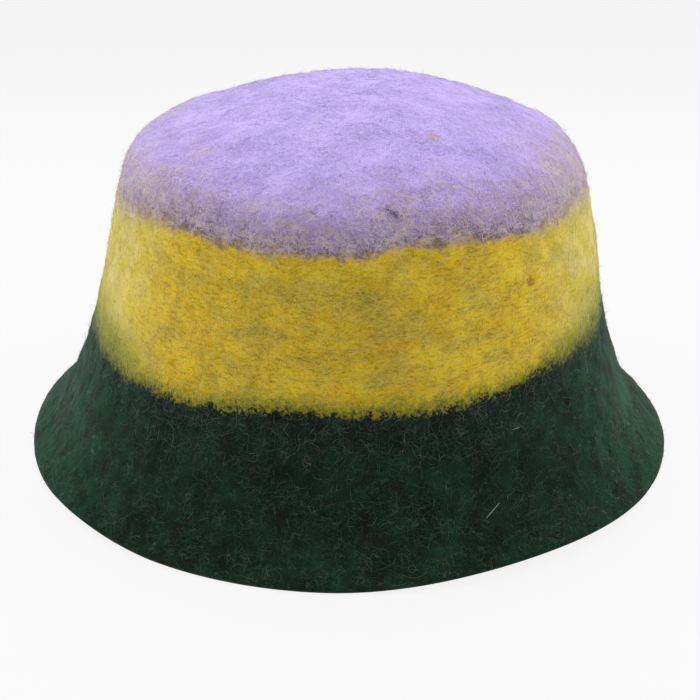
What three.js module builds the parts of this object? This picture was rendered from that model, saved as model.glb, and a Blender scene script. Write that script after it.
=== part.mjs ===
import * as THREE from 'three';
import { mergeVertices } from 'three/addons/utils/BufferGeometryUtils.js';

// A wet-felted wool hat: a domed crown that runs without a seam into a short flared brim.
// Millimetres, +Z up. The hat stands on its rim on the plane z = 0, its front faces -Y, and the
// origin is on that plane under the middle of the rim. Azimuths are in degrees, anticlockwise
// from +X as seen from above, so the front is at 270.

// The felt is one thickness all through, and its lower edge is rounded.
const feltThickness = 3.0;
const edgeClear = 0.5; // the inside starts at least this far above the lower edge's rounding

// The outer face from the rim up to the middle of the crown's top. A section is a round ring
// of that radius at that height, and its lean is how far its centre lies towards +X.
const sections = [
  { name: 'rim', radius: 121.8, height: 1.5, lean: 0.0 },
  { name: 'brim', radius: 109.8, height: 15.5, lean: -0.6 },
  { name: 'brim_root', radius: 99.2, height: 40.5, lean: -0.2 },
  { name: 'crown_foot', radius: 95.2, height: 55.0, lean: 0.3 },
  { name: 'crown_side', radius: 90.2, height: 82.0, lean: 1.3 },
  { name: 'crown_cheek', radius: 84.3, height: 107.0, lean: 1.2 },
  { name: 'shoulder', radius: 79.8, height: 115.3, lean: 0.4 },
  { name: 'top_edge', radius: 74.6, height: 119.4, lean: 0.0 },
  { name: 'top_slope', radius: 57.8, height: 126.7, lean: 0.4 },
  { name: 'top_dome', radius: 38.4, height: 132.2, lean: 0.4 },
  { name: 'top_middle', radius: 17.0, height: 135.2, lean: 0.4 },
  { name: 'top', radius: 0.0, height: 136.0, lean: 0.4 },
];

// The lower edge, given as how far each corner lies inside the rim's radius, and its height.
// The stretch at height 0 is pressed flat by what the hat stands on.
const edgeCorners = [
  { name: 'inner_round', inset: 3.3, height: 0.7 },
  { name: 'flat_inside', inset: 2.8, height: 0.0 },
  { name: 'flat_outside', inset: 1.1, height: 0.0 },
  { name: 'outer_round', inset: 0.3, height: 0.5 },
];

// Where the wavy rim stands clear of the surface, over spread degrees to each side. It touches
// the surface everywhere else: all round the back and right, and in front of the left side.
const rimLifts = [
  { name: 'left_back', azimuth: 158, spread: 50, height: 3.7 },
  { name: 'left_front', azimuth: 217, spread: 21, height: 1.3 },
  { name: 'right_front', azimuth: 302, spread: 38, height: 3.3 },
];
const liftReach = 38; // the height at which the rim's waves have died out
const liftFade = 1.3; // how quickly they do

// Shallow hollows in the soft crown. The spread is the hollow's half width.
const dents = [
  { name: 'top_front', azimuth: 262, radius: 34, height: 133, spread: 15, depth: 1.1 },
  { name: 'top_right', azimuth: 20, radius: 42, height: 131, spread: 17, depth: 0.9 },
  { name: 'top_left', azimuth: 196, radius: 46, height: 130, spread: 16, depth: 0.8 },
  { name: 'shoulder_front', azimuth: 285, radius: 80, height: 112, spread: 12, depth: 0.8 },
  { name: 'shoulder_back', azimuth: 75, radius: 79, height: 114, spread: 18, depth: 1.2 },
];
const dentCentre = new THREE.Vector3(0, 0, 60); // dents press towards this point in the hollow

// The crown's top tips up a little to the right and down a little to the back.
const topTip = { from: 90, to: 130, rightRise: 0.014, backRise: -0.009 };

// The wool's three colours, each up to the height where the next begins. The borders wander:
// a border lies higher by rightRise on the right and by backRise at the back.
const bands = [
  { name: 'green', colour: '#1d3a2c', upTo: 58.0, rightRise: 4.8, backRise: 1.8 },
  { name: 'mustard', colour: '#c7a51c', upTo: 103.1, rightRise: 0.1, backRise: -2.1 },
  { name: 'lilac', colour: '#b6a2e2', upTo: Infinity, rightRise: 0, backRise: 0 },
];

const stepsRound = 72; // facets round the hat
const stepsAlong = (sections.length - 1) * 3; // facets from the rim to the crown's middle
const sameVertex = 1e-3; // vertices closer than this are one

const sectionCurve = new THREE.CatmullRomCurve3(
  sections.map((s) => new THREE.Vector3(s.radius, s.height, s.lean)),
  false,
  'centripetal',
);

// A point of the outer face's profile: x is the radius, y the height and z the lean.
function outerPoint(share) {
  return sectionCurve.getPoint(share);
}

// The same point moved in through the felt, square to the outer face.
function innerPoint(share) {
  const along = sectionCurve.getTangent(share);
  const point = outerPoint(share);
  const length = Math.hypot(along.x, along.y);
  point.x = Math.max(point.x - (feltThickness * along.y) / length, 0);
  point.y += (feltThickness * along.x) / length;
  return point;
}

// The closed profile of the felt: up the outside, from the lower edge to the crown's middle,
// and back down the inside. It starts and ends on the axis, as a turned shape does.
function feltProfile() {
  const rim = sections[0];
  const inner = [];
  const outer = [];
  for (let i = 0; i <= stepsAlong; i += 1) {
    inner.unshift(innerPoint(i / stepsAlong));
    outer.push(outerPoint(i / stepsAlong));
  }
  inner[0].x = 0;
  outer[stepsAlong].x = 0;
  const edge = edgeCorners.map((c) => new THREE.Vector3(rim.radius - c.inset, c.height, rim.lean));
  const insideAboveEdge = inner.filter((p) => p.y > edgeCorners[0].height + edgeClear);
  return [...insideAboveEdge, ...edge, ...outer];
}

// How high the rim's waves raise the felt at an azimuth: each is half a cosine wave, squared.
function rimLift(azimuth) {
  let lift = 0;
  for (const wave of rimLifts) {
    const turn = azimuth - wave.azimuth;
    const away = Math.abs(turn - 360 * Math.round(turn / 360));
    if (away < wave.spread) {
      lift += wave.height * Math.cos((away / wave.spread) * (Math.PI / 2)) ** 2;
    }
  }
  return lift;
}

// Moves a turned point to where the soft felt really lies: waves at the rim, the tipped top,
// the lean of its section, and the dents.
function settle(point, lean) {
  const azimuth = THREE.MathUtils.radToDeg(Math.atan2(point.y, point.x));
  const low = Math.max(1 - point.z / liftReach, 0) ** liftFade;
  const tip = THREE.MathUtils.clamp((point.z - topTip.from) / (topTip.to - topTip.from), 0, 1);
  point.z += low * rimLift(azimuth);
  point.z += tip * (topTip.rightRise * point.x + topTip.backRise * point.y);
  point.x += lean;
  for (const dent of dents) {
    const around = THREE.MathUtils.degToRad(dent.azimuth);
    const middle = new THREE.Vector3(
      dent.radius * Math.cos(around),
      dent.radius * Math.sin(around),
      dent.height,
    );
    const depth = dent.depth * Math.exp(-((point.distanceTo(middle) / dent.spread) ** 2));
    point.addScaledVector(dentCentre.clone().sub(point).normalize(), depth);
  }
  return point;
}

// The colour of the wool at a point: the first band whose wandering upper border is above it.
function woolColour(point) {
  const flat = Math.hypot(point.x, point.y) || 1;
  const found = bands.find((band) => {
    const rise = (band.rightRise * point.x + band.backRise * point.y) / flat;
    return point.z < band.upTo + rise;
  });
  return new THREE.Color(found.colour);
}

// The whole hat's surface: the profile turned about the axis, then settled point by point.
// The turned shape's first and last columns, and each column's ends on the axis, become one.
function feltGeometry() {
  const profile = feltProfile();
  const turned = profile.map((p) => new THREE.Vector2(p.x, p.y));
  const geometry = new THREE.LatheGeometry(turned, stepsRound);
  geometry.rotateX(Math.PI / 2);
  const place = geometry.getAttribute('position');
  const colours = new Float32Array(place.count * 3);
  const point = new THREE.Vector3();
  for (let i = 0; i < place.count; i += 1) {
    point.fromBufferAttribute(place, i);
    settle(point, profile[i % profile.length].z);
    place.setXYZ(i, point.x, point.y, point.z);
    woolColour(point).toArray(colours, i * 3);
  }
  geometry.setAttribute('color', new THREE.BufferAttribute(colours, 3));
  geometry.deleteAttribute('normal');
  geometry.deleteAttribute('uv');
  const closed = mergeVertices(geometry, sameVertex);
  closed.computeVertexNormals();
  return closed;
}

const felt = new THREE.MeshStandardMaterial({
  color: '#ffffff',
  vertexColors: true,
  roughness: 0.95,
  metalness: 0.0,
});

const hat = new THREE.Mesh(feltGeometry(), felt);
hat.name = 'felt_hat';

const group = new THREE.Group();
group.add(hat);

export default group;
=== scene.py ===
import math

import bpy
import numpy as np
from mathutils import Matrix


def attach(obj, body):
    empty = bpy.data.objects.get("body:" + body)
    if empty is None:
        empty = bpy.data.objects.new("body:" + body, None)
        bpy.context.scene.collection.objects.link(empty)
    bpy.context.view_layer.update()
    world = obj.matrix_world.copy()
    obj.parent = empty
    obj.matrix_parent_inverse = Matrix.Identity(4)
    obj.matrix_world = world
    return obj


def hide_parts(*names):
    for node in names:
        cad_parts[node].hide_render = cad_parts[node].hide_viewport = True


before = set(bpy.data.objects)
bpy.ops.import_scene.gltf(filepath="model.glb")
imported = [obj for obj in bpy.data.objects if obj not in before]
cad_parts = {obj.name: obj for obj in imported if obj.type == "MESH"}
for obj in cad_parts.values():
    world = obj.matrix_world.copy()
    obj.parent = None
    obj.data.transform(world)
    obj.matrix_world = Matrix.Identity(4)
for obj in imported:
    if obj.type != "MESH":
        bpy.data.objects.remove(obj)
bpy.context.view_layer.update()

# A wet-felted wool hat: a domed crown that runs without a seam into a short flared brim, in
# three bands of wool. Sizes are millimetres and degrees, +Z is up and the front faces -Y.
# Azimuths run anticlockwise from +X as seen from above, so the front is at 270.
mm = 0.001  # Blender works in metres
print("frame loaded")

hatForm = {
    "feltThickness": 3.0,
    "edgeClear": 0.5,  # the inside starts at least this far above the lower edge's rounding
    "sections": [  # name, radius, height, lean towards +X
        ("rim", 121.8, 1.5, 0.0),
        ("brim", 109.8, 15.5, -0.6),
        ("brimRoot", 99.2, 40.5, -0.2),
        ("crownFoot", 95.2, 55.0, 0.3),
        ("crownSide", 90.2, 82.0, 1.3),
        ("crownCheek", 84.3, 107.0, 1.2),
        ("shoulder", 79.8, 115.3, 0.4),
        ("topEdge", 74.6, 119.4, 0.0),
        ("topSlope", 57.8, 126.7, 0.4),
        ("topDome", 38.4, 132.2, 0.4),
        ("topMiddle", 17.0, 135.2, 0.4),
        ("top", 0.0, 136.0, 0.4),
    ],
    "edgeCorners": [  # name, inset from the rim's radius, height
        ("innerRound", 3.3, 0.7),
        ("flatInside", 2.8, 0.0),
        ("flatOutside", 1.1, 0.0),
        ("outerRound", 0.3, 0.5),
    ],
    "rimLifts": [  # name, azimuth, spread, height
        ("leftBack", 158, 50, 3.7),
        ("leftFront", 217, 21, 1.3),
        ("rightFront", 302, 38, 3.3),
    ],
    "liftReach": 38.0,  # the height at which the rim's waves have died out
    "liftFade": 1.3,  # how quickly they do
    "dents": [  # name, azimuth, radius, height, spread, depth
        ("topFront", 262, 34, 133, 15, 1.1),
        ("topRight", 20, 42, 131, 17, 0.9),
        ("topLeft", 196, 46, 130, 16, 0.8),
        ("shoulderFront", 285, 80, 112, 12, 0.8),
        ("shoulderBack", 75, 79, 114, 18, 1.2),
    ],
    "dentCentre": (0.0, 0.0, 60.0),  # dents press towards this point in the hollow
    "topTip": {"from": 90.0, "to": 130.0, "rightRise": 0.014, "backRise": -0.009},
    "lineSteps": 3000,  # how finely the outer profile is drawn before it is spaced out
    "edgeSteps": 400,  # and the lower edge
}

wool = {
    "columns": 576,  # facets round the hat
    "outerRows": 118,
    "innerRows": 26,
    "edgeRows": 6,
    "lumps": [  # size across and height of the felt's soft unevenness
        (34.0, 0.20),
        (13.0, 0.15),
        (5.6, 0.10),
        (2.8, 0.07),
    ],
    "sink": 0.30,  # the lumps' middle level lies this far inside the form, so their tops reach it
    "innerLumps": 2,  # only so many of the coarsest show on the inside, which isn't sunk
    "lumpSeed": 40,  # the first lumps' seed, and one more for each of the next
    "hollows": [  # where the worn top sinks a little: name, azimuth, radius, height, spread, depth
        ("backLeft", 118, 75.0, 119, 22, 1.6),
        ("backRight", 40, 75.5, 119, 19, 1.5),
    ],
    "lumpFade": 6.0,  # the unevenness dies out this far above the lower edge
    # The heights at which the bands meet, which wander round the hat: azimuth, mustard, lilac.
    "borders": [
        (10, 63.5, 99.0),
        (40, 61.6, 102.8),
        (70, 61.2, 102.0),
        (100, 58.4, 101.0),
        (130, 57.2, 103.2),
        (160, 55.6, 101.6),
        (178, 57.0, 99.6),
        (192, 56.6, 100.0),
        (206, 55.0, 102.4),
        (217, 52.2, 106.4),
        (231, 50.4, 105.8),
        (241, 51.8, 105.3),
        (251, 54.6, 104.8),
        (262, 54.8, 105.1),
        (268, 54.0, 104.8),
        (276, 54.6, 106.2),
        (285, 54.3, 107.6),
        (297, 54.8, 107.7),
        (308, 57.2, 105.2),
        (321, 59.6, 103.6),
        (335, 61.4, 104.4),
        (350, 64.2, 101.6),
    ],
}

# Form of the hat


# A centripetal Catmull-Rom spline: each stretch is the cubic whose slopes at its two ends come
# from the neighbouring points, with steps as long as the square root of the distance.
def splineThrough(points, share):
    held = np.vstack([2 * points[0] - points[1], points, 2 * points[-1] - points[-2]])
    steps = np.sqrt(np.linalg.norm(np.diff(held, axis=0), axis=1))
    spot = share * (len(points) - 1)
    left = np.minimum(spot.astype(int), len(points) - 2)
    along = (spot - left)[:, None]
    before, start, end, after = (held[left + k] for k in range(4))
    stepBefore, step, stepAfter = (steps[left + k][:, None] for k in range(3))
    leave = (start - before) / stepBefore - (end - before) / (stepBefore + step) + (end - start) / step
    reach = (end - start) / step - (after - start) / (step + stepAfter) + (after - end) / stepAfter
    leave, reach = leave * step, reach * step
    square = 3 * (end - start) - 2 * leave - reach
    cube = 2 * (start - end) + leave + reach
    return start + leave * along + square * along**2 + cube * along**3


# The same line with its points at even distances, each read off against the distance walked.
def evenly(points, count):
    walked = np.concatenate([[0], np.cumsum(np.linalg.norm(np.diff(points[:, :2], axis=0), axis=1))])
    places = np.linspace(0, walked[-1], count)
    return np.stack([np.interp(places, walked, column) for column in points.T], -1)


# Unit normals of a profile, square to it and out of the felt: the tangent turned clockwise.
def squareOut(profile):
    tangent = np.gradient(profile[:, :2], axis=0)
    normal = np.stack([tangent[:, 1], -tangent[:, 0]], -1)
    return normal / np.linalg.norm(normal, axis=1, keepdims=True)


# The outer face's profile from the rim to the middle of the top, as radius, height and lean.
def outerLine(form):
    table = np.array([row[1:] for row in form["sections"]], float)
    return evenly(splineThrough(table, np.linspace(0, 1, form["lineSteps"])), form["lineSteps"])


# The closed profile of the felt: down the inside, round the lower edge and up the outside. The
# inside is the outside moved in by one thickness of felt, square to it. With it goes how far each
# point is on the inside: 1 there, a half on the lower edge and 0 on the outside.
def wallProfile(form, rows):
    outer = outerLine(form)
    inner = outer.copy()
    inner[:, :2] -= form["feltThickness"] * squareOut(outer)
    inner = inner[inner[:, 1] > form["edgeCorners"][0][2] + form["edgeClear"]]
    inner = inner[inner[:, 0] >= 0][::-1]
    inner[0, 0] = 0
    rim = outer[0]
    corners = np.array([(rim[0] - row[1], row[2], rim[2]) for row in form["edgeCorners"]])
    around = np.vstack([inner[-1:], corners, outer[:1]])
    edge = splineThrough(around, np.linspace(0, 1, form["edgeSteps"]))
    parts = [evenly(inner, rows["innerRows"]), evenly(edge, rows["edgeRows"] + 2)[1:-1],
             evenly(outer, rows["outerRows"])]
    profile = np.vstack(parts)
    profile[[0, -1], 0] = 0
    inside = np.repeat([1.0, 0.5, 0.0], [len(part) for part in parts])
    return profile, inside


# Moves turned points to where the soft felt lies. Height rises by the rim's waves, each half a
# cosine wave squared, which die out upwards, and by the tipped top. The section's lean goes on to
# x. Each dent moves points towards the middle of the hollow, as a bell round its place.
def settle(points, lean, form):
    x, y, z = points[..., 0], points[..., 1], points[..., 2]
    azimuth = np.degrees(np.arctan2(y, x))
    lift = 0
    for _, middle, spread, height in form["rimLifts"]:
        away = np.abs((azimuth - middle + 180) % 360 - 180)
        lift = lift + height * np.where(away < spread, np.cos(away / spread * np.pi / 2) ** 2, 0)
    low = np.clip(1 - z / form["liftReach"], 0, None) ** form["liftFade"]
    tip = form["topTip"]
    tipped = np.clip((z - tip["from"]) / (tip["to"] - tip["from"]), 0, 1)
    z = z + low * lift + tipped * (tip["rightRise"] * x + tip["backRise"] * y)
    placed = np.stack([x + lean, y, z], -1)
    for _, middle, radius, height, spread, depth in form["dents"]:
        turn = math.radians(middle)
        dent = np.array([radius * math.cos(turn), radius * math.sin(turn), height])
        near = np.exp(-((np.linalg.norm(placed - dent, axis=-1, keepdims=True) / spread) ** 2))
        inward = np.array(form["dentCentre"]) - placed
        placed = placed + depth * near * inward / np.linalg.norm(inward, axis=-1, keepdims=True)
    return placed


# Soft random lumps of about that size: cosine waves in random directions, a little shorter and
# longer than it, added up and scaled so that their mean square is one.
def waveSum(points, size, seed, waves=26, spread=(0.75, 1.35)):
    rng = np.random.default_rng(seed)
    ways = rng.normal(size=(waves, 3))
    lengths = size * rng.uniform(*spread, waves)
    ways *= (2 * np.pi / lengths / np.linalg.norm(ways, axis=1))[:, None]
    shifts = rng.uniform(0, 2 * np.pi, waves)
    total = np.zeros(points.shape[:-1])
    for way, shift in zip(ways, shifts):
        total += np.cos(points @ way + shift)
    return total * math.sqrt(2 / waves)


# How far the worn top has sunk at turned points: a bell round the middle of each hollow.
def sunken(points, wool):
    depths = 0
    for _, azimuth, radius, height, spread, depth in wool["hollows"]:
        turn = math.radians(azimuth)
        middle = np.array([radius * math.cos(turn), radius * math.sin(turn), height])
        depths = depths + depth * np.exp(-((np.linalg.norm(points - middle, axis=-1) / spread) ** 2))
    return depths


# How far the felt stands out at turned points: the lumps of every size less the hollows and the
# sink, fading to nothing at the lower edge, which is pressed flat. The inside is pushed in by the
# same hollows, so the wall keeps its thickness there.
def unevenness(points, wool, onInside=False):
    lumps = wool["lumps"][:wool["innerLumps"]] if onInside else wool["lumps"]
    seeded = enumerate(lumps, wool["lumpSeed"])
    height = sum(depth * waveSum(points, size, seed) for seed, (size, depth) in seeded)
    height += sunken(points, wool) if onInside else -sunken(points, wool) - wool["sink"]
    return height * np.clip(points[..., 2] / wool["lumpFade"], 0, 1)


# The two borders' heights at azimuths, straight from row to row of the table and round.
def borderHeights(azimuth, wool):
    table = np.array(wool["borders"], float)
    return [np.interp(azimuth, table[:, 0], table[:, k], period=360) for k in (1, 2)]


# Meshes


# A new object from points in millimetres, with a named float attribute for each value.
def writeMesh(name, points, faces, values):
    mesh = bpy.data.meshes.new(name)
    mesh.from_pydata((points * mm).tolist(), [], faces)
    for key, numbers in values.items():
        layer = mesh.attributes.new(key, "FLOAT", "POINT")
        layer.data.foreach_set("value", np.ascontiguousarray(numbers, np.float32).ravel())
    mesh.polygons.foreach_set("use_smooth", np.ones(len(mesh.polygons), bool))
    mesh.update()
    made = bpy.data.objects.new(name, mesh)
    bpy.context.scene.collection.objects.link(made)
    return made


# Two numbers at each place along a profile, outwards and upwards, turned about the axis.
def turnedRound(numbers, ways):
    outwards = numbers[:, None, :1] * ways
    upwards = np.broadcast_to(numbers[:, None, 1:2], outwards[..., :1].shape)
    return np.concatenate([outwards, upwards], -1)


# The felt wall as one closed surface. Its two parameters are the place along the closed profile
# and the azimuth: the profile is turned about the axis, moved out along its normal by the felt's
# unevenness, and settled. Both poles are single points.
def feltShell(form, wool):
    profile, inside = wallProfile(form, wool)
    normals = squareOut(profile)
    normals[[0, -1]] = (0, -1), (0, 1)
    turns = np.arange(wool["columns"]) * 2 * np.pi / wool["columns"]
    ways = np.stack([np.cos(turns), np.sin(turns)], -1)
    base, out = turnedRound(profile, ways), turnedRound(normals, ways)
    onOuter = inside[:, None] == 0
    stand = np.where(onOuter, unevenness(base, wool), unevenness(base, wool, onInside=True))
    placed = settle(base + out * stand[..., None], profile[:, None, 2], form)
    placed[..., 2] = np.maximum(placed[..., 2], 0)
    rows, columns = placed.shape[:2]
    points = np.concatenate([placed[0, :1], placed[1:-1].reshape(-1, 3), placed[-1, :1]])
    ring = 1 + np.arange((rows - 2) * columns).reshape(rows - 2, columns)
    after = np.roll(ring, -1, axis=1)
    quads = np.stack([ring[:-1], after[:-1], after[1:], ring[1:]], -1).reshape(-1, 4)
    bottom = np.stack([np.zeros_like(ring[0]), after[0], ring[0]], -1)
    top = np.stack([ring[-1], after[-1], np.full_like(ring[-1], len(points) - 1)], -1)
    faces = quads.tolist() + bottom.tolist() + top.tolist()
    azimuth = np.degrees(np.arctan2(points[:, 1], points[:, 0]))
    mustardFrom, lilacFrom = borderHeights(azimuth, wool)
    insideAt = np.concatenate([inside[:1], np.repeat(inside[1:-1], columns), inside[-1:]])
    values = {
        "aboveGreen": points[:, 2] - mustardFrom,
        "aboveMustard": points[:, 2] - lilacFrom,
        "inside": insideAt,
    }
    return writeMesh("felt_shell", points, faces, values)


# Shader building blocks


# A colour written as on the web, made linear, with alpha 1.
def linear(colour):
    parts = [int(colour[k:k + 2], 16) / 255 for k in (1, 3, 5)]
    return [c / 12.92 if c <= 0.04045 else ((c + 0.055) / 1.055) ** 2.4 for c in parts] + [1.0]


# A node with its settings. Each input is a number, a colour or another node's output.
def addNode(tree, kind, inputs=None, **settings):
    made = tree.nodes.new(kind)
    for key, value in settings.items():
        setattr(made, key, value)
    for key, value in (inputs or {}).items():
        if isinstance(value, bpy.types.NodeSocket):
            tree.links.new(value, made.inputs[key])
        else:
            made.inputs[key].default_value = linear(value) if isinstance(value, str) else value
    return made


# An empty material and its node tree.
def newMaterial(name):
    material = bpy.data.materials.new(name)
    material.use_nodes = True
    material.node_tree.nodes.clear()
    return material, material.node_tree


# The shader that makes up the whole surface.
def finishWith(tree, shader, kind="ShaderNodeOutputMaterial"):
    tree.links.new(shader.outputs[0], addNode(tree, kind).inputs["Surface"])


def objectPlace(tree):
    return addNode(tree, "ShaderNodeTexCoord").outputs["Object"]


def maths(tree, operation, first, second=0.0, clamp=False):
    inputs = {0: first, 1: second}
    return addNode(tree, "ShaderNodeMath", inputs, operation=operation, use_clamp=clamp).outputs[0]


def plus(tree, first, second):
    return maths(tree, "ADD", first, second)


def minus(tree, first, second):
    return maths(tree, "SUBTRACT", first, second)


def times(tree, first, second):
    return maths(tree, "MULTIPLY", first, second)


def either(tree, first, second):
    return maths(tree, "MAXIMUM", first, second)


# 0 before start and 1 after end, with a smooth turn between them. They may be swapped.
def ease(tree, value, start, end):
    inputs = {"Value": value, "From Min": start, "From Max": end}
    return addNode(tree, "ShaderNodeMapRange", inputs, interpolation_type="SMOOTHSTEP").outputs[0]


# 1 where a value is close to the middle and 0 where it is far off.
def nearTo(tree, value, middle, far, close):
    return ease(tree, maths(tree, "ABSOLUTE", minus(tree, value, middle)), far, close)


# Noise from 0 to 1, whose lumps are about that many millimetres across, times the stretch of each
# axis. The seed moves the place, so that no two noises are alike.
def clouds(tree, place, size, seed, detail=2.0, rough=0.55, stretch=(1, 1, 1), turn=(0, 0, 0)):
    inputs = {"Vector": place, "Location": [seed * 1.37, seed * 0.61, seed * 0.23],
              "Rotation": [math.radians(t) for t in turn], "Scale": [1 / (size * mm * s) for s in stretch]}
    moved = addNode(tree, "ShaderNodeMapping", inputs, vector_type="POINT").outputs[0]
    inputs = {"Vector": moved, "Scale": 1.0, "Detail": detail, "Roughness": rough}
    return addNode(tree, "ShaderNodeTexNoise", inputs).outputs["Fac"]


# Clouds made to run from minus to plus about half that size.
def swing(tree, noise, size):
    return times(tree, minus(tree, noise, 0.5), size)


# Thin curly lines like matted wool: where a noise crosses its middle value.
def strands(tree, place, size, thin, seed, detail=1.5, stretch=(1, 1, 1), turn=(0, 0, 0)):
    return nearTo(tree, clouds(tree, place, size, seed, detail, 0.5, stretch, turn), 0.5, thin, 0.0)


# The strands of several rows together.
def allStrands(tree, place, rows):
    together = 0.0
    for row in rows:
        together = either(tree, together, strands(tree, place, *row))
    return together


# The colour under, with the colour over laid on it by that share.
def blend(tree, share, under, over):
    inputs = {0: share, 6: under, 7: over}  # the mixing node's sockets for colours
    return addNode(tree, "ShaderNodeMix", inputs, data_type="RGBA", clamp_factor=True).outputs[2]


# Colours along a value from 0 to 1, each stop a place and a colour.
def ramp(tree, value, stops):
    made = addNode(tree, "ShaderNodeValToRGB", {"Fac": value})
    made.color_ramp.interpolation = "EASE"
    marks = made.color_ramp.elements
    while len(marks) < len(stops):
        marks.new(0.5)
    for mark, (spot, colour) in zip(marks, stops):
        mark.position = spot
        mark.color = linear(colour)
    return made.outputs["Color"]


# A float attribute of the mesh, by name.
def named(tree, name):
    return addNode(tree, "ShaderNodeAttribute", attribute_name=name).outputs["Fac"]


# Felt material

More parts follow.
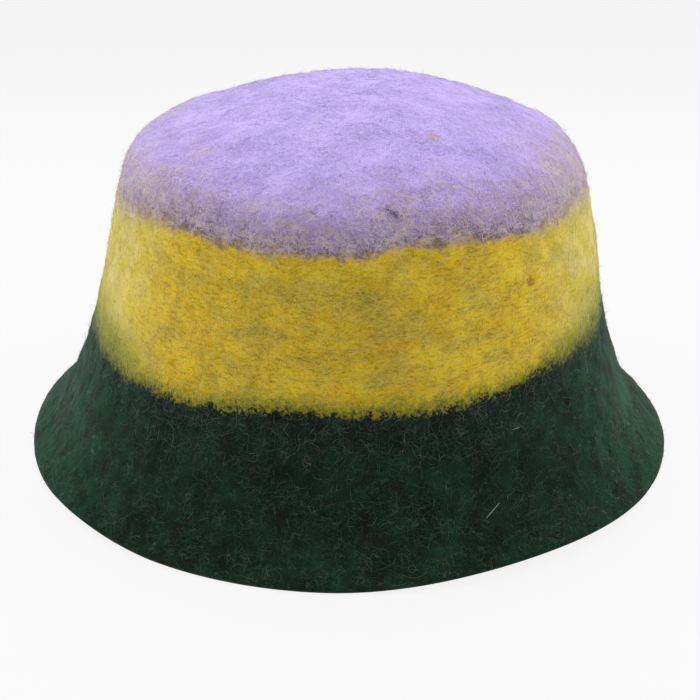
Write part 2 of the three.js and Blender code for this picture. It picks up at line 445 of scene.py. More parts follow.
# Clouds are written as size, seed, detail, roughness, stretch and turn, and strands as size,
# thinness, seed, detail, stretch and turn. A layer lies where its clouds pass from the first value
# of between to the second, or along its strands, and only in the place that where names.
felt = {
    "sidesBetween": (0.63, 0.99),  # |cosine| of the azimuth where the hat's sides begin, and are full
    "lilac": {
        "tones": [(0.30, "#9a86c3"), (0.45, "#a894d1"), (0.56, "#b29dda"), (0.72, "#bba7e0")],
        "clouds": (14, 1, 4, 0.6),
        "patches": (11, 3, 3, 0.6),
        "patchHeight": 22,  # how far the patches move the grey wool's edge up and down
        "greyReach": 20,  # how high above the border the grey wool reaches
        "sideReach": 5.0,  # and how much higher at the sides
        "duskReach": 11,
        "layers": [
            {"name": "grey", "where": "low", "share": 0.78, "colour": "#816b6a"},
            # painted sheen: the low lilac paler at the hat's left and right
            {"name": "pale", "where": "lowSideSheen", "share": 0.65, "colour": "#bda9a8"},
            # painted shade: the felt's small pits darkened in its colour
            {"name": "pitShade", "clouds": (0.85, 2, 4, 0.72), "between": (0.50, 0.36),
             "share": 0.6, "colour": "#7567a2"},
            {"name": "dusk", "clouds": (3.0, 5, 4, 0.65, (1.8, 1.8, 1)), "between": (0.56, 0.38),
             "where": "dusk", "share": 0.85, "colour": "#4e4058"},
            {"name": "beige", "clouds": (2.4, 8, 4, 0.7, (2.0, 2.0, 1)), "between": (0.46, 0.62),
             "where": "low", "share": 0.8, "colour": "#b7a596"},
            {"name": "fibres", "strands": [(1.6, 0.06, 6), (2.4, 0.035, 7)],
             "share": 0.35, "colour": "#cdc2e6"},
            {"name": "paleFibres", "strands": [(1.4, 0.05, 9), (2.3, 0.03, 10)],
             "where": "low", "share": 0.65, "colour": "#cebdc2"},
        ],
    },
    "mustard": {
        "tones": [(0.30, "#a99218"), (0.42, "#c8a616"), (0.50, "#d6b114"), (0.60, "#dfbf20"),
                  (0.74, "#e3ca3c")],
        "clouds": (10, 11, 4, 0.62, (1.5, 1.5, 1)),
        "layers": [
            {"name": "amber", "clouds": (7, 12, 3, 0.6, (1.6, 1.6, 1)), "between": (0.54, 0.66),
             "share": 0.5, "colour": "#d09e10"},
            {"name": "haze", "clouds": (9, 13, 4, 0.65, (1.8, 1.8, 1)), "between": (0.47, 0.64),
             "share": 0.5, "colour": "#a08c48"},
            {"name": "streaks", "clouds": (1.0, 14, 3, 0.65, (3.6, 3.6, 1), (8, 6, 0)),
             "between": (0.50, 0.34), "share": 0.46, "colour": "#6b5a16"},
            # painted shade: the mustard felt's small pits darkened in its colour
            {"name": "pitShade", "clouds": (0.7, 17, 3, 0.65, (1.7, 1.7, 1)), "between": (0.47, 0.33),
             "share": 0.34, "colour": "#6b5a16"},
            {"name": "fibres", "strands": [(1.2, 0.07, 15, 1.5, (2.2, 2.2, 1), (-7, 9, 0)),
                                           (2.0, 0.045, 16)], "share": 0.44, "colour": "#dfd068"},
        ],
        # painted sheen: the mustard paler and more lemon in patches at the hat's left and right
        "sidePatches": (9, 18, 3, 0.6),  # the two side colours lie over it in patches
        "sidePatchesBetween": (0.40, 0.60),
        "sideSheenColours": ("#c9c45c", "#dad292"),
        "sideSheenShare": 0.58,
    },
    "green": {
        "tones": [(0.30, "#0b1510"), (0.45, "#101e16"), (0.58, "#14291e"), (0.74, "#1a382a")],
        "clouds": (12, 21, 4, 0.62),
        "patches": (10, 23, 3, 0.6),
        "patchHeight": 22,  # how far the patches move the black wool's edge up and down
        "blackBetween": (15, 1),  # how far below the border the black wool starts, and is full
        "clearings": (6, 28, 2),  # where the fibres show
        "clearingsBetween": (0.35, 0.62),
        # the share that grows at the sides is painted sheen: the green's fibres lighter at its left and
        # right
        "fibresSeen": (0.12, 0.42),  # at the least, and how much more in the clearings and at the sides
        "paleFibresSeen": (0.40, 0.30),  # in the clearings, and how much more at the sides
        "layers": [
            {"name": "earth", "clouds": (8, 22, 3, 0.6), "between": (0.54, 0.68),
             "share": 0.55, "colour": "#1c1a14"},
            {"name": "black", "where": "high", "share": 0.7, "colour": "#0c100e"},
            {"name": "haze", "clouds": (2.0, 24, 3, 0.65), "between": (0.48, 0.66),
             "where": "high", "share": 0.7, "colour": "#2d3335"},
            # painted sheen: the green lighter and greener in patches at the hat's left and right
            {"name": "greenSideSheen", "clouds": (7, 29, 4, 0.65), "between": (0.38, 0.64),
             "where": "sides", "share": 0.6, "colour": "#1c4a33"},
            {"name": "fibres", "strands": [(1.5, 0.055, 25), (2.7, 0.028, 26)],
             "where": "fibresSeen", "share": 1.0, "colour": "#27493a"},
            {"name": "paleFibres", "strands": [(3.7, 0.016, 27)],
             "where": "paleFibresSeen", "share": 1.0, "colour": "#5a6a5c"},
        ],
    },
    "meeting": {  # how the bands meet, in heights above their border
        "tufts": (1.1, 31, 4, 0.7, (1.5, 1.5, 1.2)),
        "tuftHeight": 4.5,
        "swells": (7.0, 32),
        "swellHeight": 5.0,
        "mustardStrand": (2.2, 0.09, 35),  # strands that cross the lower border
        "greenStrand": (2.2, 0.09, 36),
        "strandHeight": 1.5,
        "lilacRagged": 1.25,  # the upper border is this many times more ragged
        "sideSoftness": 2.5,  # the borders are this many times softer, and one more, at the sides
        "mustardBetween": (-2.8, 2.4),
        "lilacBetween": (-2.3, 2.0),
        "mossOver": (0.0, 1.0),  # where the moss starts, and is full
        "mossUnder": (6.5, 1.5),  # where it has ended, and is still full
        "mossShare": 0.45,
        "moss": "#8b8a2c",
        "fringeAt": (0.2, 2.8, 0.3),  # its middle, how far off it ends, and how far it is full
        "fringeShare": 0.55,
        "fringe": "#78802c",
        "seamAt": (0.6, 2.6, 0.2),
        "seamShare": 0.60,
        "seamLessAtSides": 0.45,
        "seamLayers": [{"name": "seam", "clouds": (5.0, 37, 3, 0.7, (1.6, 1.6, 1)),
                        "between": (0.40, 0.58), "where": "seam", "share": 1.0, "colour": "#5c4636"}],
    },
    "spotClouds": (1.6, 41),  # these make the spots' edges ragged
    "spotBetween": (1.0, 0.55),  # where a spot starts and is full, as shares of its half size
    "spots": [  # name, azimuth, radius, height, turn, half sizes, raggedness, share, colour
        ("tanSpeck", 307.2, 47.2, 130.9, (0, 0, 0), (2.8, 2.2, 2.2), 1.6, 0.85, "#ad9684"),
        ("brownSpot", 313.2, 89.8, 88.6, (0, 0, 0), (2.0, 2.0, 2.6), 1.6, 0.6, "#8a542c"),
        # painted shade: slitShade and slit darken the small crease in the top's front
        ("slitShade", 280.6, 77.2, 117.3, (29, 28, -28), (6.0, 2.2, 3.0), 1.6, 0.5, "#6d6084"),
        ("slitTail", 277.6, 76.0, 118.8, (0, 0, 8), (4.0, 1.1, 1.2), 1.4, 0.5, "#6a5e80"),
        ("slit", 280.4, 77.2, 117.6, (29, 28, -28), (3.8, 0.8, 2.0), 0.6, 0.9, "#493c5c"),
        # painted sheen: a lighter green patch where the brim turns away at the right
        ("brimSideSheen", 350, 106, 24, (0, 0, 0), (8, 20, 9), 1.6, 0.4, "#2a6048"),
    ],
    "insideLayers": [{"name": "dust", "clouds": (6, 33), "between": (0.35, 0.65),
                      "where": "inside", "share": 0.35, "colour": "#5d5a55"}],
    "relief": (0.65, 34, 3, 0.72),
    "reliefStrands": [(1.6, 0.06, 6), (2.7, 0.035, 26)],
    "reliefStrandShare": 0.12,
    "reliefDepth": 0.30,
    "roughness": 0.96,
    "shine": 0.10,
    "sheen": 0.16,
    "sheenRoughness": 0.28,
    "sheenTint": (0.92, 1.0, 0.96, 1.0),
}


# 0 round the front and the back, rising to 1 at the hat's left and right: an eased |cosine| of
# the azimuth. It carries the painted sheen of the left and right and softens the borders there.
def sidesOf(tree, place):
    parts = addNode(tree, "ShaderNodeSeparateXYZ", {0: place}).outputs
    flat = addNode(tree, "ShaderNodeCombineXYZ", {0: parts["X"], 1: parts["Y"]}).outputs[0]
    way = addNode(tree, "ShaderNodeVectorMath", {0: flat}, operation="NORMALIZE").outputs["Vector"]
    across = addNode(tree, "ShaderNodeSeparateXYZ", {0: way}).outputs["X"]
    return ease(tree, maths(tree, "ABSOLUTE", across), *felt["sidesBetween"])


# A colour with layers laid over it in turn, each by its share of its clouds, strands and place.
def layOver(tree, place, colour, layers, masks):
    for layer in layers:
        share = layer["share"]
        if "clouds" in layer:
            patches = ease(tree, clouds(tree, place, *layer["clouds"]), *layer["between"])
            share = times(tree, patches, share)
        if "strands" in layer:
            share = times(tree, allStrands(tree, place, layer["strands"]), share)
        if "where" in layer:
            share = times(tree, masks[layer["where"]], share)
        colour = blend(tree, share, colour, layer["colour"])
    return colour


# A band's cloudy tones with its layers over them.
def woolColour(tree, place, band, masks):
    tones = ramp(tree, clouds(tree, place, *band["clouds"]), band["tones"])
    return layOver(tree, place, tones, band["layers"], masks)


# Lilac wool, greyer and darker in patches near its lower border, where pale hairs cross it,
# and paler there at the sides with painted sheen.
def lilacColour(tree, place, above, sides, band):
    patchy = swing(tree, clouds(tree, place, *band["patches"]), band["patchHeight"])
    reach = times(tree, sides, band["sideReach"])
    low = ease(tree, minus(tree, plus(tree, above, patchy), reach), band["greyReach"], 0)
    dusk = ease(tree, plus(tree, above, times(tree, patchy, 0.5)), band["duskReach"], 0)
    return woolColour(tree, place, band, {"low": low, "lowSideSheen": times(tree, low, sides), "dusk": dusk})


# Mustard wool with level streaks, with patches of painted sheen, paler and lemon, at the sides.
def mustardColour(tree, place, sides, band):
    colour = woolColour(tree, place, band, {})
    patches = ease(tree, clouds(tree, place, *band["sidePatches"]), *band["sidePatchesBetween"])
    sideColour = blend(tree, patches, *band["sideSheenColours"])
    return blend(tree, times(tree, sides, band["sideSheenShare"]), colour, sideColour)


# Dark green wool, nearly black with a grey haze near its upper border, with painted sheen at the sides.
def greenColour(tree, place, above, sides, band):
    patchy = swing(tree, clouds(tree, place, *band["patches"]), band["patchHeight"])
    high = ease(tree, minus(tree, patchy, above), *band["blackBetween"])
    clear = ease(tree, clouds(tree, place, *band["clearings"]), *band["clearingsBetween"])
    least, more = band["fibresSeen"]
    fibres = plus(tree, times(tree, either(tree, clear, sides), more), least)
    least, more = band["paleFibresSeen"]
    paleFibres = times(tree, clear, plus(tree, times(tree, sides, more), least))
    masks = {"high": high, "sides": sides, "fibresSeen": fibres, "paleFibresSeen": paleFibres}
    return woolColour(tree, place, band, masks)


# The three bands' wool where they meet in ragged borders. The height above a border, plus a ragged
# noise and the strands that cross it, is divided by 1 + the softness x the sides.
def bandedColour(tree, place, sides, felt):
    meeting = felt["meeting"]
    aboveGreen, aboveMustard = named(tree, "aboveGreen"), named(tree, "aboveMustard")
    softer = plus(tree, times(tree, sides, meeting["sideSoftness"]), 1.0)
    tufts = swing(tree, clouds(tree, place, *meeting["tufts"]), meeting["tuftHeight"])
    swells = swing(tree, clouds(tree, place, *meeting["swells"]), meeting["swellHeight"])
    ragged = plus(tree, tufts, swells)
    crossing = minus(tree, strands(tree, place, *meeting["mustardStrand"]),
                     strands(tree, place, *meeting["greenStrand"]))
    lower = plus(tree, aboveGreen, plus(tree, ragged, times(tree, crossing, meeting["strandHeight"])))
    lower = maths(tree, "DIVIDE", lower, softer)
    upper = plus(tree, aboveMustard, times(tree, ragged, meeting["lilacRagged"]))
    upper = maths(tree, "DIVIDE", upper, softer)

    colour = greenColour(tree, place, aboveGreen, sides, felt["green"])
    mustard = mustardColour(tree, place, sides, felt["mustard"])
    colour = blend(tree, ease(tree, lower, *meeting["mustardBetween"]), colour, mustard)
    mossy = times(tree, ease(tree, lower, *meeting["mossUnder"]), ease(tree, lower, *meeting["mossOver"]))
    colour = blend(tree, times(tree, mossy, meeting["mossShare"]), colour, meeting["moss"])
    fringe = times(tree, nearTo(tree, lower, *meeting["fringeAt"]), meeting["fringeShare"])
    colour = blend(tree, fringe, colour, meeting["fringe"])
    lilac = lilacColour(tree, place, aboveMustard, sides, felt["lilac"])
    colour = blend(tree, ease(tree, upper, *meeting["lilacBetween"]), colour, lilac)
    seamShare = minus(tree, meeting["seamShare"], times(tree, sides, meeting["seamLessAtSides"]))
    seam = times(tree, nearTo(tree, upper, *meeting["seamAt"]), seamShare)
    return layOver(tree, place, colour, meeting["seamLayers"], {"seam": seam})


# 1 in a soft-edged egg at an azimuth, radius and height, with half sizes along its own axes.
def spotAt(tree, place, spot, felt):
    _, azimuth, radius, height, turn, half, raggedness, _, _ = spot
    around = math.radians(azimuth)
    middle = (radius * math.cos(around), radius * math.sin(around), height)
    inputs = {"Vector": place, "Location": [v * mm for v in middle],
              "Rotation": [math.radians(t) for t in turn], "Scale": [v * mm for v in half]}
    local = addNode(tree, "ShaderNodeMapping", inputs, vector_type="TEXTURE").outputs[0]
    away = addNode(tree, "ShaderNodeVectorMath", {0: local}, operation="LENGTH").outputs["Value"]
    ragged = swing(tree, clouds(tree, place, *felt["spotClouds"]), raggedness)
    return ease(tree, plus(tree, away, ragged), *felt["spotBetween"])


# The felt: three bands of wool with painted sheen at the sides and painted shade in small pits,
# a few spots, one painted shade in a crease and one painted sheen on the brim, dust inside and small
# relief.
def feltMaterial(felt):
    material, tree = newMaterial("wetFelt")
    place = objectPlace(tree)
    colour = bandedColour(tree, place, sidesOf(tree, place), felt)
    for spot in felt["spots"]:
        share, spotColour = spot[-2:]
        colour = blend(tree, times(tree, spotAt(tree, place, spot, felt), share), colour, spotColour)
    colour = layOver(tree, place, colour, felt["insideLayers"], {"inside": named(tree, "inside")})
    curls = times(tree, allStrands(tree, place, felt["reliefStrands"]), felt["reliefStrandShare"])
    height = plus(tree, clouds(tree, place, *felt["relief"]), curls)
    bump = addNode(tree, "ShaderNodeBump", {
        "Height": height, "Strength": 1.0, "Distance": felt["reliefDepth"] * mm})
    finishWith(tree, addNode(tree, "ShaderNodeBsdfPrincipled", {
        "Base Color": colour, "Roughness": felt["roughness"], "Specular IOR Level": felt["shine"],
        "Sheen Weight": felt["sheen"], "Sheen Roughness": felt["sheenRoughness"],
        "Sheen Tint": felt["sheenTint"], "Normal": bump.outputs[0]}))
    return material


# Loose fibres

# A family grows from one height to another, each over a border. Its hairs lie level, or any way
# where level is 0, and stand out from the felt by arch in their middle and by tip at their end.
hairs = {
    "points": 6,  # along each hair
    "sides": 3,
    "families": [
        {"name": "fuzz_lilac", "count": 6000, "seed": 101, "from": ("lilac", 5.0), "to": ("lilac", 200.0),
         "length": (2.8, 6.5), "thick": (0.08, 0.15), "curl": 0.22, "wander": 0.32, "level": 0.0,
         "arch": 0.09, "tip": 0.40, "sideSheenColour": "#c9bad8",
         "colours": [(0.0, "#9d8dc8"), (0.3, "#b2a3db"), (0.6, "#c4b8e6"), (0.85, "#d9d0ee"),
                     (1.0, "#bfb1ab")]},
        {"name": "fuzz_mustard", "count": 6000, "seed": 102, "from": ("green", 2.0), "to": ("lilac", 2.0),
         "length": (3.0, 7.0), "thick": (0.08, 0.14), "curl": 0.18, "wander": 0.28, "level": 0.55,
         "arch": 0.09, "tip": 0.32, "sideSheenColour": "#dcd492",
         "colours": [(0.0, "#9c8420"), (0.2, "#c09a18"), (0.45, "#d8ba2e"), (0.8, "#e3d470"),
                     (1.0, "#b4a468")]},
        {"name": "fuzz_green", "count": 6000, "seed": 103, "from": ("green", -200.0), "to": ("green", 0.5),
         "length": (2.6, 7.0), "thick": (0.07, 0.12), "curl": 0.17, "wander": 0.26, "level": 0.25,
         "arch": 0.16, "tip": 0.45, "sideSheenColour": "#2c5a42",
         "colours": [(0.0, "#10281c"), (0.35, "#1b402e"), (0.65, "#28503a"), (0.85, "#4a6450"),
                     (1.0, "#5e6a44")]},
        {"name": "fuzz_haze", "count": 6000, "seed": 104, "from": ("green", -18.0), "to": ("lilac", 16.0),
         "length": (2.8, 7.0), "thick": (0.07, 0.13), "curl": 0.18, "wander": 0.28, "level": 0.3,
         "arch": 0.15, "tip": 0.50, "byBand": True,  # its colours are the three bands' in turn
         "colours": [(0.0, "#34403b"), (0.30, "#6c7668"), (0.40, "#bfb04c"), (0.65, "#d2c478"),
                     (0.78, "#a898a8"), (1.0, "#d6c8dc")]},
        {"name": "fuzz_border", "count": 1600, "seed": 105, "from": ("lilac", 1.0), "to": ("lilac", 14.0),
         "length": (3.0, 7.5), "thick": (0.08, 0.16), "curl": 0.15, "wander": 0.28, "level": 0.25,
         "arch": 0.14, "tip": 0.50, "sideSheenColour": "#cdbfc6",
         "colours": [(0.0, "#5d4d64"), (0.25, "#a08e92"), (0.6, "#cdbcc2"), (1.0, "#e2d4de")]},
    ],
    "bandTints": [(0.0, 0.30), (0.40, 0.25), (0.78, 0.22)],  # where a band's colours start, and their run
    "mottleClouds": (3.0, 51),
    "mottle": 0.16,
    # painted sheen: at the hat's left and right the hairs take their side colour
    "sideSheenShare": 0.6,  # how much of their side colour the hairs take at the hat's left and right
    "sideGap": 0.5,  # and how many of them are missing there
    "gapBetween": (0.55, 0.99),  # |cosine| of the azimuth where the gap begins, and is full
    "tries": 40,  # places tried for each hair, enough that the narrowest band is filled
    "clear": 0.04,
    "tipMost": 2.2,
    "dip": 0.20,  # hairs dive this far under the surface, in one to three waves from end to end
    "waves": (1, 3),
    "taper": (0.4, 2.5, 0.55),  # where along it a hair is thickest, the power, how much it thins
    "thinnest": 0.05,
    "lowest": 0.02,
    "roughness": 0.8,
    "shine": 0.2,
    "sheen": 0.08,
    "sheenRoughness": 0.5,
}

strays = {
    "name": "stray_hairs",
    "points": 22,
    "sides": 6,
    "clear": 0.08,
    "arch": 0.30,
    "taper": (0.5, 3.0, 0.5),
    "rows": [  # name, azimuth, height, length, slope above the level, whole bend, thickness, paleness
        ("whiteStraight", 295.2, 14.7, 7.6, 36, -4, 0.20, 1.0),
        ("whiteShort", 304.0, 40.7, 4.4, 3, -8, 0.15, 0.75),
        ("smallLoop", 280.2, 4.7, 8.4, 0, 400, 0.12, 0.35),
        ("lowArc", 278.4, 4.8, 9.6, -48, 95, 0.12, 0.35),
        ("tick", 300.4, 19.8, 1.8, -92, 0, 0.14, 0.55),
        ("standing", 283.6, 9.5, 6.0, 82, -30, 0.11, 0.3),
        ("faintLeft", 255.2, 10.2, 4.2, -8, 25, 0.11, 0.4),
        ("upperRight", 311.6, 47.2, 9.5, -60, 150, 0.12, 0.35),
        ("upperLeft", 240.4, 43.5, 8.0, 70, -110, 0.11, 0.3),
        ("backCurl", 96.0, 26.0, 12.0, 25, 210, 0.12, 0.4),
        ("backStraight", 128.0, 35.0, 7.5, -40, 12, 0.13, 0.6),
    ],
    "colours": [(0.0, "#2c4236"), (0.35, "#4d6457"), (1.0, "#a9bdb0")],
}


# Columns for looking up the outer face by tilt, the angle above the dents' centre from which
# every point of it is seen once: radius, height, lean and normal.
def outerTables(form):
    line = outerLine(form)[:-1]
    normal = squareOut(line)
    tilt = np.arctan2(line[:, 1] - form["dentCentre"][2], line[:, 0])
    return tilt, np.column_stack([line, normal])


# Points brought straight towards or away from the dents' centre on to the turned outer face, with
# the normal and the lean there.
def ontoFelt(points, tables, form):
    tilts, columns = tables
    flat = np.hypot(points[..., 0], points[..., 1])
    tilt = np.arctan2(points[..., 2] - form["dentCentre"][2], flat)
    radius, height, lean, outward, upward = (np.interp(tilt, tilts, c) for c in columns.T)
    way = points[..., :2] / np.maximum(flat, 1e-6)[..., None]
    base = np.concatenate([radius[..., None] * way, height[..., None]], -1)
    normal = np.concatenate([outward[..., None] * way, upward[..., None]], -1)
    return base, normal, lean


# Vectors brought to length 1.
def unit(vectors, shortest=1e-9):
    return vectors / np.maximum(np.linalg.norm(vectors, axis=-1, keepdims=True), shortest)


# Places spread evenly over the outer face between the family's two borders, and thinner at the
# sides: the profile is chosen by how much of the turned surface each stretch of it makes.
def scatterRoots(rng, family, wool, tables):
    columns = tables[1]
    area = np.cumsum(columns[:, 0])
    tries = family["count"] * hairs["tries"]
    spot = np.interp(rng.uniform(0, area[-1], tries), area, np.arange(len(area)))
    radius, height = (np.interp(spot, np.arange(len(area)), columns[:, k]) for k in (0, 1))
    azimuth = rng.uniform(0, 2 * np.pi, tries)
    borders = dict(zip(("green", "lilac"), borderHeights(np.degrees(azimuth), wool)))
    low, high = (borders[side] + clear for side, clear in (family["from"], family["to"]))
    sides = np.interp(np.abs(np.cos(azimuth)), hairs["gapBetween"], (0, 1))
    spared = rng.uniform(0, 1, tries) > hairs["sideGap"] * sides
    kept = np.flatnonzero((height > low) & (height < high) & spared)[:family["count"]]
    return np.stack([radius * np.cos(azimuth), radius * np.sin(azimuth), height], -1)[kept]


# How thick a hair is along it, as a share: all of it at its thickest place, and less by a power of
# the distance from there.
def tapered(along, taper):
    thickestAt, power, thins = taper
    return 1 - thins * np.abs(2 * (along - thickestAt)) ** power


# Lines over the turned outer face. Each sets out from its root at an angle above the level and
# walks in equal steps, turning by its bends, and is brought back on to the face each time.
def walkOver(roots, steepness, step, bends, tables, form):
    base, normal, lean = ontoFelt(roots, tables, form)
    level = unit(np.cross([0.0, 0.0, 1.0], normal) + 1e-9)  # never of no length, even at the top
    heading = unit(level * steepness[:, :1] + np.cross(normal, level) * steepness[:, 1:])
    walk = [(base, normal, lean)]
    for bend in bends.T:
        base, normal, lean = ontoFelt(base + step[:, None] * heading, tables, form)
        heading = unit(heading - normal * (heading * normal).sum(-1, keepdims=True))
        turn = bend[:, None]
        heading = heading * np.cos(turn) + np.cross(normal, heading) * np.sin(turn)
        walk.append((base, normal, lean))
    return [np.stack(parts, 1) for parts in zip(*walk)]


# The family's hairs: the bend of each is its own curl and a random wander added up along it. Each
# rises in an arch, lifts its tip and dives under the surface here and there.
def growHairs(rng, family, form, wool, tables):
    roots = scatterRoots(rng, family, wool, tables)
    count, steps = len(roots), hairs["points"] - 1
    step = rng.uniform(*family["length"], count) / steps
    turn = rng.uniform(0, 2 * np.pi, count)
    steepness = np.stack([np.cos(turn), np.sin(turn) * (1 - family["level"])], -1)
    curl = rng.normal(0, family["curl"], count)[:, None]
    wander = np.cumsum(rng.normal(0, family["wander"] / 2, (count, steps)), axis=1)
    base, normal, lean = walkOver(roots, steepness, step, (curl + wander) * step[:, None], tables, form)
    along = np.linspace(0, 1, steps + 1)
    arch = rng.exponential(family["arch"], count)[:, None] * np.sin(np.pi * along)
    tips = np.minimum(rng.exponential(family["tip"], count), hairs["tipMost"])[:, None] * along**3
    waves, phase = rng.uniform(*hairs["waves"], count)[:, None], rng.uniform(0, 2, count)[:, None]
    dives = np.sin(np.pi * (along * waves + phase)) ** 2
    clear = hairs["clear"] + arch + tips - hairs["dip"] * dives
    placed = settle(base + normal * (unevenness(base, wool) + clear)[..., None], lean, form)
    thick = rng.uniform(*family["thick"], count)[:, None] * tapered(along, hairs["taper"])
    return placed, normal, np.maximum(thick, hairs["thinnest"])


# A closed tube round each line: rings of corners at even angles about the line's direction,
# joined by quads, with a flat end at each end.
def tubes(lines, normals, thick, sides):
    along = unit(np.gradient(lines, axis=1))
    across = unit(np.cross(along, normals))
    up = np.cross(across, along)
    angles = np.arange(sides) * 2 * np.pi / sides
    ring = across[:, :, None] * np.cos(angles)[:, None] + up[:, :, None] * np.sin(angles)[:, None]
    points = lines[:, :, None] + ring * thick[..., None, None] / 2
    count, rows = lines.shape[:2]
    index = np.arange(count * rows * sides).reshape(count, rows, sides)
    after = np.roll(index, -1, axis=2)
    quads = np.stack([index[:, :-1], index[:, 1:], after[:, 1:], after[:, :-1]], -1).reshape(-1, 4)
    ends = np.concatenate([index[:, 0], index[:, -1, ::-1]])
    return points.reshape(-1, 3), quads.tolist() + ends.tolist()


# One family's wool, each hair with its own tint, a little mottled along its length, and taking
# its side colour at the hat's left and right, a painted sheen.
def hairMaterial(family):
    material, tree = newMaterial(family["name"] + "Wool")
    place = objectPlace(tree)
    mottle = swing(tree, clouds(tree, place, *hairs["mottleClouds"]), hairs["mottle"])
    colour = ramp(tree, maths(tree, "ADD", named(tree, "tint"), mottle, clamp=True), family["colours"])
    if "sideSheenColour" in family:
        share = times(tree, sidesOf(tree, place), hairs["sideSheenShare"])
        colour = blend(tree, share, colour, family["sideSheenColour"])
    finishWith(tree, addNode(tree, "ShaderNodeBsdfPrincipled", {
        "Base Color": colour, "Roughness": hairs["roughness"], "Specular IOR Level": hairs["shine"],
        "Sheen Weight": hairs["sheen"], "Sheen Roughness": hairs["sheenRoughness"]}))
    return material


# A family's hairs as one object. Where they take the bands' tints, each looks at its middle.
def fuzz(family, form, wool, tables):
    rng = np.random.default_rng(family["seed"])
    lines, normals, thick = growHairs(rng, family, form, wool, tables)
    tint = rng.uniform(0, 1, len(lines))
    if "byBand" in family:
        middle = lines[:, lines.shape[1] // 2]
        azimuth = np.degrees(np.arctan2(middle[:, 1], middle[:, 0]))
        band = sum((middle[:, 2] > border).astype(int) for border in borderHeights(azimuth, wool))
        start, run = np.array(hairs["bandTints"]).T
        tint = start[band] + run[band] * tint
    points, faces = tubes(lines, normals, thick, hairs["sides"])
    points[:, 2] = np.maximum(points[:, 2], hairs["lowest"])
    values = {"tint": np.repeat(tint, hairs["points"] * hairs["sides"])}
    made = writeMesh(family["name"], points, faces, values)
    made.visible_shadow = False  # loose wool lets the light through
    made.data.materials.append(hairMaterial(family))
    return made


# Single hairs that catch the eye, each walked from its own place with an even bend.
def strayHairs(strays, form, wool, tables):
    rows = np.array([row[1:] for row in strays["rows"]], float)
    azimuth, height, length, slope, bow, thick, paleness = rows.T
    columns = tables[1]
    radius = np.interp(height, columns[:, 1], columns[:, 0])
    turn, slope = np.radians(azimuth), np.radians(slope)
    roots = np.stack([radius * np.cos(turn), radius * np.sin(turn), height], -1)
    steps = strays["points"] - 1
    bends = np.repeat(np.radians(bow)[:, None] / steps, steps, axis=1)
    steepness = np.stack([np.cos(slope), np.sin(slope)], -1)
    base, normal, lean = walkOver(roots, steepness, length / steps, bends, tables, form)
    along = np.linspace(0, 1, steps + 1)
    clear = strays["clear"] + strays["arch"] * np.sin(np.pi * along)
    placed = settle(base + normal * (unevenness(base, wool) + clear)[..., None], lean, form)
    points, faces = tubes(placed, normal, thick[:, None] * tapered(along, strays["taper"]), strays["sides"])
    values = {"tint": np.repeat(paleness, len(along) * strays["sides"])}
    made = writeMesh(strays["name"], points, faces, values)
    made.data.materials.append(hairMaterial(strays))
    return made


# Stage

camera = {
    "right": 0.3,
    "away": 620.0,
    "above": 324.2,
    "pitch": 25.23,  # how far it looks down
    "lens": 91.8,
    "sensor": 36.0,
    "nearest": 10.0,
    "farthest": 100000.0,
}
studio = {
    "floorHalf": 9000.0,
    "floorUnder": 0.05,  # how far it lies under the hat, so that the two don't flicker
    "floorGlow": 0.87,  # how much of the floor's brightness is its own
    "floorWhite": 0.065,  # and how much of the lamps' light it sends back
    "floorFall": 0.06,  # how much dimmer it is behind the hat
    "floorFallFrom": 150.0,
    "floorFallTo": 650.0,
    "skyFront": 0.16,  # the sky is dim behind the camera and bright at the sides and above
    "skySides": 0.62,
    "skyBack": 0.55,
    "skyAbove": 0.55,
    "skySeen": 0.93,  # how bright the camera sees it
    "lamps": [  # each is a square panel, aimed at the middle of the crown
        {"name": "panelAbove", "at": (0, 650, 1300), "size": 1200, "watts": 17.0},
        {"name": "panelLeft", "at": (-1300, -100, 700), "size": 900, "watts": 9.0},
        {"name": "panelRight", "at": (1300, -100, 700), "size": 900, "watts": 9.0},
    ],
    "aim": (0, 0, 80),
}


def placeCamera(camera):
    data = bpy.data.cameras.new("photoCamera")
    data.lens = camera["lens"]
    data.sensor_width = camera["sensor"]
    data.clip_start, data.clip_end = camera["nearest"] * mm, camera["farthest"] * mm
    made = bpy.data.objects.new("photoCamera", data)
    made.location = (camera["right"] * mm, -camera["away"] * mm, camera["above"] * mm)
    made.rotation_euler = (math.radians(90 - camera["pitch"]), 0, 0)
    bpy.context.scene.collection.objects.link(made)
    bpy.context.scene.camera = made


# A wide floor that mostly glows of itself, and a little less behind the hat.
def layFloor(studio):
    half = studio["floorHalf"]
    corners = np.array([(-half, -half, 0), (half, -half, 0), (half, half, 0), (-half, half, 0)], float)
    floor = writeMesh("floor", corners - (0, 0, studio["floorUnder"]), [(0, 1, 2, 3)], {})
    material, tree = newMaterial("paleFloor")
    white = addNode(tree, "ShaderNodeBsdfDiffuse", {"Color": [studio["floorWhite"]] * 3 + [1]})
    back = addNode(tree, "ShaderNodeSeparateXYZ", {0: objectPlace(tree)}).outputs["Y"]
    far = ease(tree, back, studio["floorFallFrom"] * mm, studio["floorFallTo"] * mm)
    own = minus(tree, studio["floorGlow"], times(tree, far, studio["floorFall"]))
    glow = addNode(tree, "ShaderNodeEmission", {"Color": (1, 1, 1, 1), "Strength": own})
    finishWith(tree, addNode(tree, "ShaderNodeAddShader", {0: white.outputs[0], 1: glow.outputs[0]}))
    floor.data.materials.append(material)


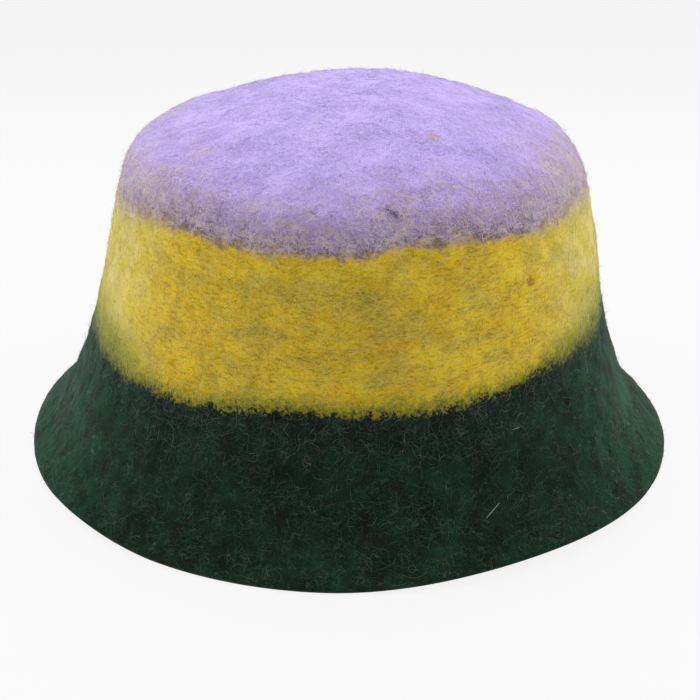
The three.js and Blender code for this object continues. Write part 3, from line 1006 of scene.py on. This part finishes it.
# A pale sky whose strength adds up from squared directions, and soft panels.
def lightStudio(studio):
    world = bpy.data.worlds.new("paleSky")
    bpy.context.scene.world = world
    world.use_nodes = True
    tree = world.node_tree
    tree.nodes.clear()
    way = addNode(tree, "ShaderNodeTexCoord").outputs["Generated"]
    axes = addNode(tree, "ShaderNodeSeparateXYZ", {0: way}).outputs
    strength = 0.0
    for axis, low, high, share in ((0, -1, 1, "skySides"), (1, 0, 1, "skyBack"), (1, -1, 0, "skyFront"),
                                   (2, 0, 1, "skyAbove")):
        held = maths(tree, "MINIMUM", maths(tree, "MAXIMUM", axes[axis], low), high)
        strength = plus(tree, strength, times(tree, times(tree, held, held), studio[share]))
    straight = addNode(tree, "ShaderNodeLightPath").outputs["Is Camera Ray"]
    parts = {0: straight, 2: strength, 3: studio["skySeen"]}
    seen = addNode(tree, "ShaderNodeMix", parts, data_type="FLOAT")
    sky = addNode(tree, "ShaderNodeBackground", {"Color": (1, 1, 1, 1), "Strength": seen.outputs[0]})
    finishWith(tree, sky, "ShaderNodeOutputWorld")
    for lamp in studio["lamps"]:
        data = bpy.data.lights.new(lamp["name"], "AREA")
        data.size = lamp["size"] * mm
        data.energy = lamp["watts"]
        made = bpy.data.objects.new(lamp["name"], data)
        at = np.array(lamp["at"], float) * mm
        made.location = at
        back = at - np.array(studio["aim"]) * mm
        tipped, turned = math.atan2(math.hypot(*back[:2]), back[2]), math.atan2(back[1], back[0])
        made.rotation_euler = (tipped, 0, turned + math.pi / 2)
        bpy.context.scene.collection.objects.link(made)


bpy.context.scene.view_settings.view_transform = "Standard"
bpy.context.scene.view_settings.look = "None"
placeCamera(camera)
layFloor(studio)
lightStudio(studio)
print("camera, floor and lights placed")

shell = feltShell(hatForm, wool)
shell.data.materials.append(feltMaterial(felt))
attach(shell, "root")
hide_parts("felt_hat")
print("felt shell made,", len(shell.data.vertices), "points")

tables = outerTables(hatForm)
for family in hairs["families"]:
    piece = fuzz(family, hatForm, wool, tables)
    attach(piece, "root")
    print(family["name"], "made,", len(piece.data.polygons), "faces")

piece = strayHairs(strays, hatForm, wool, tables)
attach(piece, "root")
print("stray hairs made")
